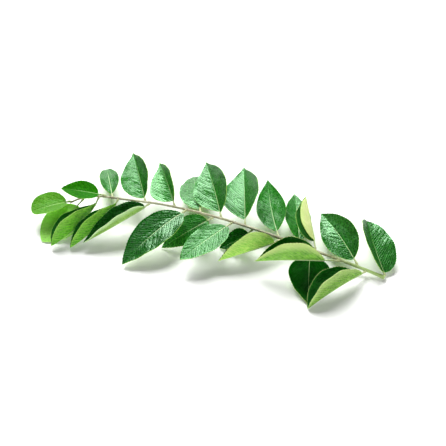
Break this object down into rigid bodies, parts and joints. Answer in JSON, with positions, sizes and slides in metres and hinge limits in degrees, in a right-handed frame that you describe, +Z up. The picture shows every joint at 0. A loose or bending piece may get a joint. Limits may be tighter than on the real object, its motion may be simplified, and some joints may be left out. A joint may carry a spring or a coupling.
{
  "type": "curry leaf sprig",
  "caption": "Cut compound leaf lying flat: a slim arched stem with two rows of glossy pointed oval leaflets and one more at its tip.",
  "frame": {"origin": "the middle of the sprig's footprint, on the surface it lies on", "axes": "+X along the stem towards its cut end, +Y across the sprig towards its right row, +Z up"},
  "size_m": [0.2312, 0.0962, 0.032],
  "materials": {
    "stem": "satin",
    "leaflet": "gloss"
  },
  "bodies": {
    "root": {"stem": "stem", "leaflet_right_01": "leaflet", "leaflet_right_02": "leaflet", "leaflet_right_03": "leaflet", "leaflet_right_04": "leaflet", "leaflet_right_05": "leaflet", "leaflet_right_06": "leaflet", "leaflet_right_07": "leaflet", "leaflet_right_08": "leaflet", "leaflet_right_09": "leaflet", "leaflet_right_10": "leaflet", "leaflet_right_11": "leaflet", "leaflet_right_12": "leaflet", "leaflet_end": "leaflet", "leaflet_left_12": "leaflet", "leaflet_left_11": "leaflet", "leaflet_left_10": "leaflet", "leaflet_left_09": "leaflet", "leaflet_left_08": "leaflet", "leaflet_left_07": "leaflet", "leaflet_left_06": "leaflet", "leaflet_left_05": "leaflet", "leaflet_left_04": "leaflet", "leaflet_left_03": "leaflet", "leaflet_left_02": "leaflet", "leaflet_left_01": "leaflet"}
  },
  "joints": []
}
